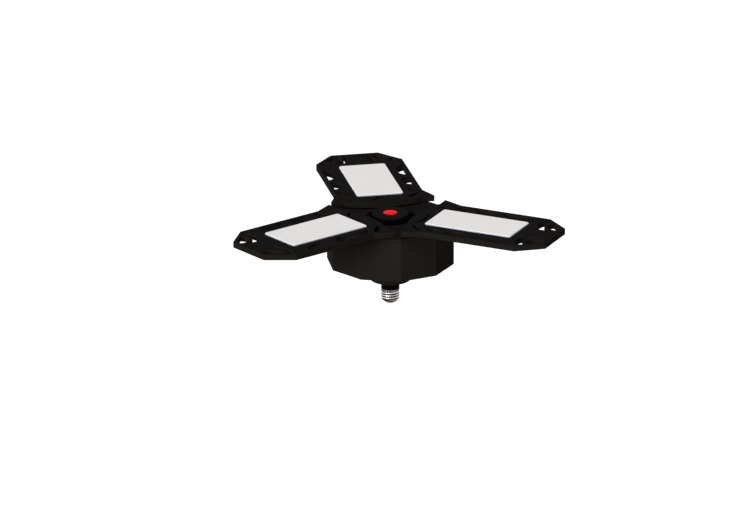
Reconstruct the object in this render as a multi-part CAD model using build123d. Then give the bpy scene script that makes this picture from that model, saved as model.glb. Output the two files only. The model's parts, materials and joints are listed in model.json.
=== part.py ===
from build123d import *
import os
from math import cos, pi, radians, sin, sqrt

# Fold-out lamp with a screw cap: a ten-sided hub and three leaves hinged over its top.
# Millimetres, +Z towards the lit side. The origin is on the axis of the lamp, where the
# metal shell of the cap meets the plastic neck.

# Leaves, each lying along its own heading, in degrees
leaf_headings = (92.6, 209.9, 325.7)
leaf_length = 213.6
leaf_width = 124.8
leaf_thickness = 8.0
leaf_end_width = 68.6
leaf_corner_length = 35.0
leaf_root_radius = 38.7
root_bulge_radius = 150.0
root_bulge_width = 104.0
shoulder_depth = 2.5
shoulder_width = 136.0
tip_reach = 7.0
tip_setback = 0.8
flare_length = 30.0
leaf_wall = 2.2
leaf_skin = 2.2
outer_corner_fillet = 3.0
root_corner_fillet = 1.6

# Diffusers and what lies under them
diffuser_length = 131.0
diffuser_width = 66.6
diffuser_offset = 94.3
diffuser_proud = 2.0
diffuser_depth = 5.0
diffuser_wall = 2.0
diffuser_corner = 2.5
diffuser_edge_break = 0.8
ledge_width = 3.6
back_plate_margin = 4.0
back_plate_thickness = 2.0
board_thickness = 1.6
fitting_clearance = 0.4
chip_length = 3.5
chip_width = 2.8
chip_height = 0.7
chip_rows = 5
chip_columns = 9
chip_edge_margin = 8.0
back_screw_offsets = (18.0, 50.0)

# Vents of a leaf, measured from the centre of its diffuser and from its centreline
vent_border = 4.6
vent_step_width = 3.4
vent_step_depth = 3.0
long_scallop = (36.4, 46.0, 15.0)
short_scallop = (-10.5, 32.5, 16.5)
slant_vent_start = -58.0
slant_vent_end = -39.0
slant_vent_reach = 15.0
slant_vent_lean = 9.0
root_lens_start = (-82.0, 36.5)
root_lens_end = (-58.5, 59.0)
root_lens_bow = 4.4
corner_vent_place = (107.0, 37.5)
corner_vent_radius = 29.5
corner_vent_start = 16.0
corner_rib_radius = 19.5
corner_rib_width = 4.0
crescent_middle = -7.0
crescent_half_chord = 24.0
crescent_horns = -87.5
crescent_inner_apex = -77.5
crescent_outer_apex = -68.2
crescent_depth = 3.5

# Hinges
hinge_radius = 53.0
hinge_drop = 4.6
pin_radius = 1.5
pin_length = 22.0
pin_start = 49.0
pin_running_clearance = 0.05
ear_position = 58.5
ear_thickness = 3.0
ear_radius = 2.9
ear_clearance = 0.4
washer_thickness = 0.5
washer_clearance = 0.08
bracket_thickness = 1.5
bracket_reach = 17.0
bracket_leg_width = 3.4
bracket_leg_reach = 6.5
bracket_corner_slope = 1.2
bracket_strip_width = 9.6
bracket_screw_spread = (18.0, 44.0)
bracket_seat_clearance = 0.25

# Hub
hub_sides = 10
hub_heading = 90.0
hub_radius = 90.0
hub_height = 64.5
hub_underside = 40.0
hub_wall = 2.5
hub_floor = 2.5
hub_edge_fillet = 1.2
floor_opening_radius = 40.0
top_plate_thickness = 3.0
top_plate_lip = 2.0
lip_clearance = 0.25
leaf_gap = 1.5
trough_clearance = 0.5
trough_side = 4.2
trough_wall = 2.0
trough_floor_clearance = 1.0
top_screw_place = (76.0, 14.0)
top_screw_length = 14.0
top_boss_radius = 4.0
pad_place = (74.0, 33.0)
pad_radius = 2.5
pad_seat_depth = 1.0
pad_clearance = 0.1

# Centre cap
centre_disc_radius = 25.8
centre_disc_thickness = 2.8
centre_disc_fillet = 0.8
centre_rise = 7.1
skirt_base_radius = 35.5
skirt_top_radius = 27.0
skirt_wall = 2.0
spigot_radius = 18.0
spigot_depth = 6.0
spigot_clearance = 0.15
disc_stem_depth = 4.0
lens_radius = 9.8
lens_depth = 1.6
lens_dome = 0.5
lens_clearance = 0.15
lens_stem_radius = 3.0
lens_stem_length = 5.0

# Back cover and neck
cover_flange_radius = 70.0
cover_flange_thickness = 2.0
cover_flange_width = 8.0
cover_waist_radius = 38.0
cover_waist_height = 27.5
cover_rim_radius = 28.0
cover_rim_height = 13.4
cover_rim_depth = 3.6
cover_wall = 2.2
cover_slot_count = 20
cover_slot_width = 3.0
cover_slot_length = 13.0
cover_slot_inset = 6.0
cover_screw_count = 5
cover_screw_length = 9.0
neck_radius = 12.9
neck_clearance = 0.1
neck_flange_radius = 20.0
neck_flange_thickness = 4.0
neck_bore = 6.0
neck_screw_count = 3
neck_screw_circle = 16.4
neck_screw_length = 5.4

# Lamp cap
shell_length = 16.6
shell_crest_radius = 13.1
shell_root_radius = 12.35
shell_inner_radius = 11.6
shell_band_length = 2.6
shell_end_radius = 9.4
shell_end_wall = 0.7
shell_taper_length = 2.4
thread_pitch = 3.63
thread_half_width = 1.15
thread_sink = 0.15
plug_clearance = 0.05
plug_gap = 0.2
insulator_tip_radius = 5.2
insulator_height = 4.2
insulator_bore = 2.0
contact_radius = 4.7
contact_height = 1.9
contact_dome = 0.7
contact_stem_radius = 1.6
contact_stem_length = 5.0

# Driver inside the hub
driver_length = 84.0
driver_width = 56.0
standoff_height = 8.0
standoff_radius = 3.4
standoff_inset = 4.0
transformer_core = (26.0, 24.0, 18.0)
bobbin_size = (19.0, 32.0, 12.0)
bobbin_fillet = 4.0
transformer_place = (14.0, -2.0)
large_capacitor = (-24.0, 14.0, 8.0, 26.0)
small_capacitor = (-31.0, -8.0, 5.0, 16.0)
capacitor_edge = 0.8
choke_ring_radius = 7.0
choke_wire_radius = 3.2
choke_place = (-11.0, -16.0)
fuse_radius = 2.6
fuse_length = 18.0
fuse_place = (4.0, 20.0)

# Screws
screw_radius = 1.25
screw_head_radius = 2.4
screw_head_height = 1.15
screw_hole_clearance = 0.25
boss_radius = 3.2
boss_depth = 7.0
screw_end_gap = 0.4

# Heights and places that follow from the values above
hub_top = hub_underside + hub_height
plate_underside = hub_top - top_plate_thickness
leaf_bottom = hub_top + leaf_gap
leaf_top = leaf_bottom + leaf_thickness
leaf_end = leaf_root_radius + leaf_length
hinge_height = leaf_top - hinge_drop
diffuser_centre = leaf_root_radius + diffuser_offset
diffuser_base = leaf_top + diffuser_proud - diffuser_depth
diffuser_top = leaf_top + diffuser_proud
tip_width = shoulder_width + 2 * tip_reach
hub_apothem = hub_radius * cos(pi / hub_sides)
back_plate_length = diffuser_length + 2 * back_plate_margin
back_plate_width = diffuser_width + 2 * back_plate_margin
back_plate_top = leaf_bottom + back_plate_thickness
window_length = diffuser_length - 2 * ledge_width
window_width = diffuser_width - 2 * ledge_width
back_screw_y = (window_width + back_plate_width) / 4
vent_chord = leaf_width / 2 - vent_border
ear_inner = ear_position - ear_thickness / 2
ear_outer = ear_position + ear_thickness / 2
slot_slack = washer_thickness + 2 * washer_clearance
bracket_base = hub_top - bracket_thickness
bracket_back = hinge_radius + bracket_reach
bracket_screw_x = bracket_back - bracket_strip_width / 2
root_dip = sqrt((hinge_radius - leaf_root_radius) ** 2 + (hinge_height - leaf_bottom) ** 2)
trough_floor = hinge_height - root_dip - trough_floor_clearance
housing_floor_top = hub_underside + hub_floor
driver_underside = housing_floor_top + standoff_height
driver_top = driver_underside + board_thickness
skirt_top = hub_top + centre_rise - centre_disc_thickness
cover_rim_top = cover_rim_height + cover_rim_depth
cover_flange_base = hub_underside - cover_flange_thickness
cover_mouth_radius = cover_flange_radius - cover_flange_width
cover_screw_circle = cover_flange_radius - cover_flange_width / 2
cover_slot_outer = cover_mouth_radius - cover_slot_inset
cover_slot_inner = cover_slot_outer - cover_slot_length
neck_flange_base = cover_rim_height + cover_wall
shell_opening = shell_end_radius - shell_end_wall
contact_base = -shell_length - insulator_height
plug_end = shell_taper_length + plug_gap - shell_length


def slab(sketch, low, high):
    """The sketch raised into a solid between two heights."""
    return extrude(Pos(0, 0, low) * sketch, high - low)


def disc(radius, low, high):
    """An upright round bar on the axis between two heights."""
    return slab(Circle(radius), low, high)


def block(front, back, inner, outer, low, high):
    """A box given by its limits along X, Y and Z."""
    size = (back - front, outer - inner, high - low)
    return Pos((front + back) / 2, (inner + outer) / 2, (low + high) / 2) * Box(*size)


def plate_at(centre, length, width):
    """A rectangle on the centreline of a leaf."""
    return Pos(centre, 0) * Rectangle(length, width)


def turned(edges):
    """A solid of revolution from a closed profile of radius and height."""
    return revolve(Plane.XZ * make_face(edges), Axis.Z)


def lathe(*points):
    """A solid of revolution from straight runs between points of radius and height."""
    return turned(Polyline(*points, close=True))


def dome_arc(radius, edge, rise):
    """A round dome from its edge to the axis; a negative rise hangs down."""
    sphere = (radius**2 + rise**2) / (2 * abs(rise))
    drop = sphere - sqrt(sphere**2 - (radius / 2) ** 2)
    middle = edge + rise - drop * rise / abs(rise)
    return ThreePointArc((radius, edge), (radius / 2, middle), (0, edge + rise)).edge()


def both_sides(*shapes):
    """Shapes followed by their mirror images across the centreline of a leaf."""
    return [*shapes, *[mirror(shape, Plane.XZ) for shape in shapes]]


def on_leaf(shapes, heading):
    """Shapes drawn along +X, put on the leaf that points at the heading."""
    return [Rot(0, 0, heading) * shape for shape in shapes]


def cut(solid, tools):
    """The solid with every tool taken out of it."""
    for tool in tools:
        solid = solid - tool
    return solid


def joined(solid, additions):
    """The solid with every addition fused to it."""
    for addition in additions:
        solid = solid + addition
    return solid


def circle_places(count, circle, start=0.0):
    """Points spread evenly round a circle."""
    turns = [radians(start + 360.0 / count * n) for n in range(count)]
    return [(circle * cos(turn), circle * sin(turn)) for turn in turns]


def countersunk(length):
    """A countersunk screw along -Z, its flat head at height zero."""
    return lathe(
        (0, 0),
        (screw_head_radius, 0),
        (screw_radius, -screw_head_height),
        (screw_radius, -length),
        (0, -length),
    )


def countersink(depth):
    """The clearance hole of a countersunk screw, from height zero down."""
    return lathe(
        (0, 0),
        (screw_head_radius + screw_hole_clearance, 0),
        (screw_radius + screw_hole_clearance, -screw_head_height),
        (screw_radius + screw_hole_clearance, -depth),
        (0, -depth),
    )


def decagon(inset):
    """The outline of the hub, drawn in evenly on every side."""
    corner = (hub_apothem - inset) / cos(pi / hub_sides)
    return RegularPolygon(corner, hub_sides, rotation=hub_heading)


def bulge_edge(half_width, radius, apex):
    """Distance from the hub axis of a bulged edge at a half width."""
    return apex + radius - sqrt(radius**2 - half_width**2)


def leaf_outline():
    """Plan of a leaf: bulged root, shoulders, hinge tips, flare and cut outer corners."""
    bulge_half = root_bulge_width / 2
    bulge_x = bulge_edge(bulge_half, root_bulge_radius, leaf_root_radius)
    shoulder_x = bulge_x + shoulder_depth
    tip_x = shoulder_x - tip_setback
    half = [
        (bulge_x, bulge_half),
        (shoulder_x, bulge_half + 2 * shoulder_depth),
        (shoulder_x, shoulder_width / 2),
        (tip_x, tip_width / 2),
        (tip_x + flare_length, leaf_width / 2),
        (leaf_end - leaf_corner_length, leaf_width / 2),
        (leaf_end, leaf_end_width / 2),
    ]
    other = [(x, -y) for x, y in reversed(half)]
    bulge = ThreePointArc(other[-1], (leaf_root_radius, 0), half[0])
    outline = make_face([bulge.edge(), *Polyline(*half, *other).edges()])
    outer = [v for v in outline.vertices() if v.X > hinge_radius]
    outline = fillet(outer, outer_corner_fillet)
    root = [v for v in outline.vertices() if v.X < hinge_radius]
    return fillet(root, root_corner_fillet)


def diffuser_outline(grow):
    """Plan of a diffuser with cut corners, grown on every side."""
    plate = Rectangle(diffuser_length + 2 * grow, diffuser_width + 2 * grow)
    return Pos(diffuser_centre, 0) * chamfer(plate.vertices(), diffuser_corner)


def scallop(place, inset):
    """A circle segment whose chord lies along the border of the leaf."""
    centre, length, reach = place
    radius = (length**2 / 4 + reach**2) / (2 * reach)
    x = diffuser_centre + centre
    strip = Pos(x, vent_chord - reach / 2) * Rectangle(length, reach)
    return strip & (Pos(x, vent_chord - reach + radius) * Circle(radius - inset))


def slant_vent(inset):
    """A four-sided vent with one leaning end."""
    low = vent_chord - slant_vent_reach + inset
    start = diffuser_centre + slant_vent_start + inset
    end = diffuser_centre + slant_vent_end - inset
    points = [(start, low), (end, low), (end, vent_chord), (start + slant_vent_lean, vent_chord)]
    return make_face(Polyline(*points, close=True))


def root_lens():
    """A slim lens across the flare at the root of a leaf."""
    start = Vector(diffuser_centre + root_lens_start[0], root_lens_start[1])
    end = Vector(diffuser_centre + root_lens_end[0], root_lens_end[1])
    bow = Vector(start.Y - end.Y, end.X - start.X).normalized() * root_lens_bow
    middle = (start + end) / 2
    near = ThreePointArc(start, middle + bow, end)
    far = ThreePointArc(end, middle - bow, start)
    return make_face([near.edge(), far.edge()])


def corner_vents(outline):
    """Two nested vents in an outer corner, with a curved rib between them."""
    place = Pos(diffuser_centre + corner_vent_place[0], corner_vent_place[1])
    outer_half = plate_at((diffuser_centre + leaf_end) / 2, leaf_end - diffuser_centre, leaf_width)
    inside = offset(outline & outer_half, -vent_border)
    outer = place * (Circle(corner_vent_radius) - Circle(corner_rib_radius))
    outer -= plate_at(diffuser_centre + corner_vent_place[0], 2 * corner_vent_radius, 2 * corner_vent_start)
    inner = place * Circle(corner_rib_radius - corner_rib_width)
    return [outer & inside, inner & inside]


def root_crescent():
    """A shallow crescent between the root of a leaf and its diffuser, off the centreline."""
    near = Vector(diffuser_centre + crescent_horns, crescent_middle - crescent_half_chord)
    far = Vector(diffuser_centre + crescent_horns, crescent_middle + crescent_half_chord)
    outer_apex = (diffuser_centre + crescent_outer_apex, crescent_middle)
    inner_apex = (diffuser_centre + crescent_inner_apex, crescent_middle)
    outer = ThreePointArc(near, outer_apex, far)
    inner = ThreePointArc(far, inner_apex, near)
    return make_face([outer.edge(), inner.edge()])


def hinge_bar(radius, inner, outer):
    """A round bar on the hinge axis between two distances from the centreline."""
    place = Pos(hinge_radius, (inner + outer) / 2, hinge_height)
    return place * Rot(90, 0, 0) * Cylinder(radius, outer - inner)


def back_screw_places():
    """Screws of a back plate on one side of the centreline."""
    steps = [-step for step in reversed(back_screw_offsets)] + list(back_screw_offsets)
    return [(diffuser_centre + step, back_screw_y) for step in steps]


def leaf_frame():
    """Black moulding of a leaf: a skin on top, walls round the vents, hinge tips."""
    outline = leaf_outline()
    steps = [scallop(long_scallop, 0), scallop(short_scallop, 0), slant_vent(0)]
    throughs = [
        scallop(long_scallop, vent_step_width),
        scallop(short_scallop, vent_step_width),
        slant_vent(vent_step_width),
    ]
    plain_vents = [root_lens(), *corner_vents(outline)]
    core = plate_at(
        diffuser_centre, back_plate_length + 2 * leaf_wall, back_plate_width + 2 * leaf_wall
    )
    hinge_zone = hinge_radius + ear_radius + leaf_wall
    body = outline - plate_at(hinge_zone / 2, hinge_zone, tip_width)
    hollow = offset(body, -leaf_wall) - core
    hollow = cut(hollow, both_sides(*[offset(vent, leaf_wall) for vent in steps + plain_vents]))
    frame = slab(outline, leaf_bottom, leaf_top)
    frame -= slab(hollow, leaf_bottom, leaf_top - leaf_skin)
    upper = [slab(step, leaf_top - vent_step_depth, leaf_top) for step in steps]
    lower = [slab(vent, leaf_bottom, leaf_top) for vent in throughs + plain_vents]
    frame = cut(frame, both_sides(*upper, *lower))
    frame -= slab(root_crescent(), leaf_top - crescent_depth, leaf_top)
    frame -= slab(diffuser_outline(fitting_clearance / 2), diffuser_base, leaf_top)
    frame -= slab(plate_at(diffuser_centre, window_length, window_width), leaf_bottom, leaf_top)
    seat = plate_at(
        diffuser_centre,
        back_plate_length + fitting_clearance,
        back_plate_width + fitting_clearance,
    )
    frame -= slab(seat, leaf_bottom, back_plate_top)
    slot = block(
        leaf_root_radius,
        hinge_radius + ear_radius + ear_clearance,
        ear_inner - slot_slack,
        ear_outer + slot_slack,
        leaf_bottom,
        hinge_height + ear_radius + ear_clearance,
    )
    pilots = [
        Pos(x, y) * disc(screw_radius, back_plate_top, diffuser_base - screw_end_gap)
        for x, y in back_screw_places()
    ]
    pin_hole = hinge_bar(pin_radius, pin_start, tip_width / 2)
    return cut(frame, both_sides(slot, pin_hole, *pilots))


def back_plate():
    """Aluminium plate that closes a leaf from below and carries its board."""
    plate = slab(
        plate_at(diffuser_centre, back_plate_length, back_plate_width), leaf_bottom, back_plate_top
    )
    holes = [
        Pos(x, y, leaf_bottom) * Rot(180, 0, 0) * countersink(back_plate_thickness)
        for x, y in back_screw_places()
    ]
    return cut(plate, both_sides(*holes))


def back_plate_screws():
    """Screws of a back plate, driven up into the ledge of the frame."""
    length = diffuser_base - screw_end_gap - leaf_bottom
    screw = Rot(180, 0, 0) * countersunk(length)
    return both_sides(*[Pos(x, y, leaf_bottom) * screw for x, y in back_screw_places()])


def led_board():
    """Board under a diffuser."""
    board = plate_at(
        diffuser_centre, window_length - fitting_clearance, window_width - fitting_clearance
    )
    return slab(board, back_plate_top, back_plate_top + board_thickness)


def led_chips():
    """Rows of small light-emitting chips on a board."""
    low = back_plate_top + board_thickness
    step_x = (window_length - 2 * chip_edge_margin) / (chip_columns - 1)
    step_y = (window_width - 2 * chip_edge_margin) / (chip_rows - 1)
    chip = Box(chip_length, chip_width, chip_height)
    chips = []
    for column in range(chip_columns):
        for row in range(chip_rows):
            x = diffuser_centre + (column - (chip_columns - 1) / 2) * step_x
            y = (row - (chip_rows - 1) / 2) * step_y
            chips.append(Pos(x, y, low + chip_height / 2) * chip)
    return chips


def diffuser():
    """Milky cover: a shallow tray turned over, with a softened upper edge."""
    plate = slab(diffuser_outline(0), diffuser_base, diffuser_top)
    plate = chamfer(plate.faces().sort_by(Axis.Z)[-1].edges(), diffuser_edge_break)
    hollow = plate_at(diffuser_centre, window_length, window_width)
    return plate - slab(hollow, diffuser_base, diffuser_top - diffuser_wall)


def hinge_pins():
    """Two steel pins pressed into the hinge tips of a leaf."""
    return both_sides(hinge_bar(pin_radius, pin_start, pin_start + pin_length))


def hinge_washers():
    """Friction washers on both faces of each bracket ear."""
    washers = []
    for inner in (ear_inner - washer_clearance - washer_thickness, ear_outer + washer_clearance):
        outer = inner + washer_thickness
        bore = hinge_bar(pin_radius + pin_running_clearance, inner, outer)
        washers.append(hinge_bar(ear_radius, inner, outer) - bore)
    return both_sides(*washers)


def bracket_outline():
    """Plan of the U-shaped foot of a hinge bracket."""
    front = hinge_radius - ear_radius
    leg_back = hinge_radius + bracket_leg_reach
    leg_inner = ear_outer - bracket_leg_width
    strip_end = ear_outer - bracket_corner_slope * (bracket_back - leg_back)
    half = [
        (bracket_back - bracket_strip_width, leg_inner),
        (front, leg_inner),
        (front, ear_outer),
        (leg_back, ear_outer),
        (bracket_back, strip_end),
    ]
    points = half + [(x, -y) for x, y in reversed(half)]
    return make_face(Polyline(*points, close=True))


def hinge_bracket():
    """Pressed steel bracket: a foot sunk into the top plate, with two upright ears."""
    foot = slab(bracket_outline(), bracket_base, hub_top)
    front = hinge_radius - ear_radius
    back = hinge_radius + ear_radius
    ear = block(front, back, ear_inner, ear_outer, bracket_base, hinge_height)
    ear += hinge_bar(ear_radius, ear_inner, ear_outer)
    bore = hinge_bar(pin_radius + pin_running_clearance, ear_inner, ear_outer)
    holes = [
        Pos(bracket_screw_x, y, hub_top) * countersink(bracket_thickness)
        for y in bracket_screw_spread
    ]
    return cut(joined(foot, both_sides(ear)), both_sides(bore, *holes))


def bracket_screws():
    """Screws that hold a hinge bracket to the bosses of the top plate."""
    screw = countersunk(top_plate_thickness + boss_depth - screw_end_gap)
    places = [Pos(bracket_screw_x, y, hub_top) for y in bracket_screw_spread]
    return both_sides(*[place * screw for place in places])


def trough_outline():
    """Plan of the relief in the top plate that the root of a leaf dips into."""
    apex = leaf_root_radius - trough_clearance
    half = root_bulge_width / 2 + trough_side
    start = bulge_edge(half, root_bulge_radius + trough_clearance, apex)
    back = hinge_radius + hinge_height - leaf_bottom + trough_clearance
    arc = ThreePointArc((start, -half), (apex, 0), (start, half))
    rest = Polyline((start, half), (back, half), (back, -half), (start, -half))
    return make_face([arc.edge(), *rest.edges()])


def hub_top_plate():
    """Lid of the hub: a relief, a bracket seat, bosses and pad seats for every leaf."""
    outline = fillet(decagon(0).vertices(), hub_edge_fillet)
    plate = slab(outline, plate_underside, hub_top)
    lip = decagon(hub_wall + lip_clearance) - decagon(2 * hub_wall + lip_clearance)
    additions = [slab(lip, plate_underside - top_plate_lip, plate_underside)]
    tools = [disc(spigot_radius + spigot_clearance, plate_underside, hub_top)]
    bracket_seat = slab(offset(bracket_outline(), bracket_seat_clearance), bracket_base, hub_top)
    relief = trough_outline()
    boss_base = plate_underside - boss_depth
    bosses = [
        Pos(bracket_screw_x, y) * disc(boss_radius, boss_base, plate_underside)
        for y in bracket_screw_spread
    ]
    pilots = [
        Pos(bracket_screw_x, y) * disc(screw_radius, boss_base, hub_top)
        for y in bracket_screw_spread
    ]
    top_screw = Pos(*top_screw_place, hub_top) * countersink(top_plate_thickness)
    boss_notch = Pos(*top_screw_place) * disc(
        top_boss_radius + lip_clearance, plate_underside - top_plate_lip, plate_underside
    )
    pad_seat = Pos(*pad_place) * disc(
        pad_radius + pad_clearance, hub_top - pad_seat_depth, hub_top
    )
    trough = slab(offset(relief, trough_wall), trough_floor - trough_wall, plate_underside)
    for heading in leaf_headings:
        additions += on_leaf([trough, *both_sides(*bosses)], heading)
        tools += on_leaf([slab(relief, trough_floor, hub_top), bracket_seat], heading)
        tools += on_leaf(both_sides(*pilots, top_screw, boss_notch, pad_seat), heading)
    return cut(joined(plate, additions), tools)


def top_plate_screws():
    """Screws that hold the lid of the hub to the posts of the housing."""
    screw = Pos(*top_screw_place, hub_top) * countersunk(top_screw_length)
    return [part for heading in leaf_headings for part in on_leaf(both_sides(screw), heading)]


def rest_pads():
    """Rubber pads on the hub that a folded-out leaf lies on."""
    pad = Pos(*pad_place) * disc(pad_radius, hub_top - pad_seat_depth, leaf_bottom)
    return [part for heading in leaf_headings for part in on_leaf(both_sides(pad), heading)]


def hub_housing():
    """Ten-sided cup of the hub with posts for the lid, the board and the back cover."""
    outline = fillet(decagon(0).vertices(), hub_edge_fillet)
    housing = slab(outline, hub_underside, plate_underside)
    housing -= slab(decagon(hub_wall), housing_floor_top, plate_underside)
    housing -= disc(floor_opening_radius, hub_underside, housing_floor_top)
    post = Pos(*top_screw_place) * disc(top_boss_radius, housing_floor_top, plate_underside)
    post &= slab(decagon(hub_wall / 2), housing_floor_top, plate_underside)
    pilot_base = hub_top - top_screw_length - screw_end_gap
    pilot = Pos(*top_screw_place) * disc(screw_radius, pilot_base, plate_underside)
    additions = []
    tools = []
    for heading in leaf_headings:
        additions += on_leaf(both_sides(post), heading)
        tools += on_leaf(both_sides(pilot), heading)
    for x, y in driver_screw_places():
        standoff = disc(standoff_radius, housing_floor_top, driver_underside)
        additions.append(Pos(x, y) * standoff)
        tools.append(Pos(x, y) * disc(screw_radius, housing_floor_top, driver_underside))
    for x, y in cover_screw_places():
        boss = disc(boss_radius, housing_floor_top, housing_floor_top + boss_depth)
        additions.append(Pos(x, y) * boss)
        hole_top = cover_flange_base + cover_screw_length + screw_end_gap
        tools.append(Pos(x, y) * disc(screw_radius, hub_underside, hole_top))
    return cut(joined(housing, additions), tools)


def driver_screw_places():
    """Corner screws of the driver board."""
    x = driver_length / 2 - standoff_inset
    y = driver_width / 2 - standoff_inset
    return [(x, y), (-x, y), (-x, -y), (x, -y)]


def cover_screw_places():
    """Screws round the flange of the back cover."""
    return circle_places(cover_screw_count, cover_screw_circle, hub_heading)


def back_cover():
    """Trumpet-shaped cover from the underside of the hub down to the neck."""
    mouth = (cover_mouth_radius, cover_flange_base)
    waist = (cover_waist_radius, cover_waist_height)
    rim = (cover_rim_radius, cover_rim_top)
    outer = turned([
        ThreePointArc(mouth, waist, rim).edge(),
        *Polyline(
            rim,
            (cover_rim_radius, cover_rim_height),
            (0, cover_rim_height),
            (0, hub_underside),
            (cover_flange_radius, hub_underside),
            (cover_flange_radius, cover_flange_base),
            mouth,
        ).edges(),
    ])
    diagonal = cover_wall / sqrt(2)
    inner_mouth = (cover_mouth_radius - cover_wall, hub_underside)
    inner_waist = (cover_waist_radius - diagonal, cover_waist_height + diagonal)
    inner_rim = (cover_rim_radius - cover_wall, cover_rim_top)
    inner = turned([
        ThreePointArc(inner_mouth, inner_waist, inner_rim).edge(),
        *Polyline(
            inner_rim,
            (cover_rim_radius - cover_wall, neck_flange_base),
            (0, neck_flange_base),
            (0, hub_underside),
            inner_mouth,
        ).edges(),
    ])
    slot = block(
        cover_slot_inner,
        cover_slot_outer,
        -cover_slot_width / 2,
        cover_slot_width / 2,
        cover_rim_height,
        hub_underside,
    )
    tools = [inner, disc(neck_radius + neck_clearance, cover_rim_height, neck_flange_base)]
    tools += [Rot(0, 0, 360.0 / cover_slot_count * n) * slot for n in range(cover_slot_count)]
    sunk = Rot(180, 0, 0) * countersink(cover_flange_thickness)
    tools += [Pos(x, y, cover_flange_base) * sunk for x, y in cover_screw_places()]
    sunk = Rot(180, 0, 0) * countersink(cover_wall)
    tools += [Pos(x, y, cover_rim_height) * sunk for x, y in neck_screw_places()]
    return cut(outer, tools)


def cover_screws():
    """Screws that hold the back cover to the hub."""
    screw = Rot(180, 0, 0) * countersunk(cover_screw_length)
    return [Pos(x, y, cover_flange_base) * screw for x, y in cover_screw_places()]


def neck_screw_places():
    """Screws that hold the neck inside the back cover."""
    return circle_places(neck_screw_count, neck_screw_circle, hub_heading)


def cap_neck():
    """Plastic neck: flange inside the cover, round neck, plug inside the shell."""
    neck_top = neck_flange_base + neck_flange_thickness
    neck = disc(neck_flange_radius, neck_flange_base, neck_top)
    neck += disc(neck_radius, 0, neck_flange_base)
    neck += disc(shell_inner_radius - plug_clearance, plug_end, 0)
    tools = [disc(neck_bore, plug_end, neck_top)]
    hole_top = cover_rim_height + neck_screw_length + screw_end_gap / 2
    for x, y in neck_screw_places():
        tools.append(Pos(x, y) * disc(screw_radius, neck_flange_base, hole_top))
    return cut(neck, tools)


def neck_screws():
    """Screws through the rim of the back cover into the flange of the neck."""
    screw = Rot(180, 0, 0) * countersunk(neck_screw_length)
    return [Pos(x, y, cover_rim_height) * screw for x, y in neck_screw_places()]


def cap_shell():
    """Threaded metal shell: plain band, rolled helical thread, drawn-in end."""
    taper_top = shell_taper_length - shell_length
    shell = lathe(
        (shell_inner_radius, 0),
        (shell_crest_radius, 0),
        (shell_crest_radius, -shell_band_length),
        (shell_root_radius, -shell_band_length - thread_half_width / 2),
        (shell_root_radius, taper_top),
        (shell_end_radius, -shell_length),
        (shell_opening, -shell_length),
        (shell_inner_radius, taper_top),
    )
    base = shell_root_radius - thread_sink
    ridge_profile = make_face([
        ThreePointArc(
            (base, -thread_half_width),
            (shell_crest_radius, 0),
            (base, thread_half_width),
        ).edge(),
        Line((base, thread_half_width), (base, -thread_half_width)).edge(),
    ])
    thread_height = shell_length - shell_taper_length - shell_band_length - thread_half_width
    helix = Helix(thread_pitch, thread_height, base)
    ridge = sweep(Plane.XZ * ridge_profile, path=helix, is_frenet=True)
    return shell + Pos(0, 0, taper_top + thread_half_width / 2) * ridge


def cap_insulator():
    """Black glass cone between the shell and the centre contact."""
    top = plug_end - plug_gap
    return lathe(
        (insulator_bore, top),
        (shell_opening, top),
        (shell_opening, -shell_length),
        (insulator_tip_radius, contact_base),
        (insulator_bore, contact_base),
    )


def cap_contact():
    """Centre contact: a domed button with a stem."""
    low = contact_base - contact_height
    edge = low + contact_dome
    rest = Polyline(
        (0, low),
        (0, contact_base + contact_stem_length),
        (contact_stem_radius, contact_base + contact_stem_length),
        (contact_stem_radius, contact_base),
        (contact_radius, contact_base),
        (contact_radius, edge),
    )
    return turned([dome_arc(contact_radius, edge, -contact_dome), *rest.edges()])


def centre_skirt():
    """Conical collar on the top plate, with a spigot down through it."""
    skirt_floor = skirt_top - skirt_wall
    spigot_end = hub_top - spigot_depth
    return lathe(
        (skirt_base_radius, hub_top),
        (skirt_top_radius, skirt_top),
        (spigot_radius - skirt_wall, skirt_top),
        (spigot_radius - skirt_wall, spigot_end),
        (spigot_radius, spigot_end),
        (spigot_radius, skirt_floor),
        (skirt_top_radius - skirt_wall, skirt_floor),
        (skirt_base_radius - skirt_wall, hub_top),
    )


def centre_cap():
    """Round cap on the skirt with a seat for the indicator lens."""
    top = skirt_top + centre_disc_thickness
    plate = disc(centre_disc_radius, skirt_top, top)
    plate = fillet(plate.faces().sort_by(Axis.Z)[-1].edges(), centre_disc_fillet)
    stem_radius = spigot_radius - skirt_wall - spigot_clearance
    stem_end = skirt_top - disc_stem_depth
    plate += disc(stem_radius, stem_end, skirt_top)
    plate -= disc(lens_radius + lens_clearance, top - lens_depth, top)
    return plate - disc(lens_stem_radius + lens_clearance, stem_end, top)


def indicator_lens():
    """Plain round red lens in the centre of the cap."""
    top = skirt_top + centre_disc_thickness
    base = top - lens_depth
    rest = Polyline(
        (0, top + lens_dome),
        (0, base - lens_stem_length),
        (lens_stem_radius, base - lens_stem_length),
        (lens_stem_radius, base),
        (lens_radius, base),
        (lens_radius, top),
    )
    return turned([dome_arc(lens_radius, top, lens_dome), *rest.edges()])


def driver_board():
    """Driver board on the standoffs of the housing."""
    board = slab(Rectangle(driver_length, driver_width), driver_underside, driver_top)
    reach = screw_radius + screw_hole_clearance
    holes = [Pos(x, y) * disc(reach, driver_underside, driver_top) for x, y in driver_screw_places()]
    return cut(board, holes)


def driver_screws():
    """Screws at the corners of the driver board, heads on top."""
    length = board_thickness + standoff_height - screw_end_gap
    head = disc(screw_head_radius, driver_top, driver_top + screw_head_height)
    screw = head + disc(screw_radius, driver_top - length, driver_top)
    return [Pos(x, y) * screw for x, y in driver_screw_places()]


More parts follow.
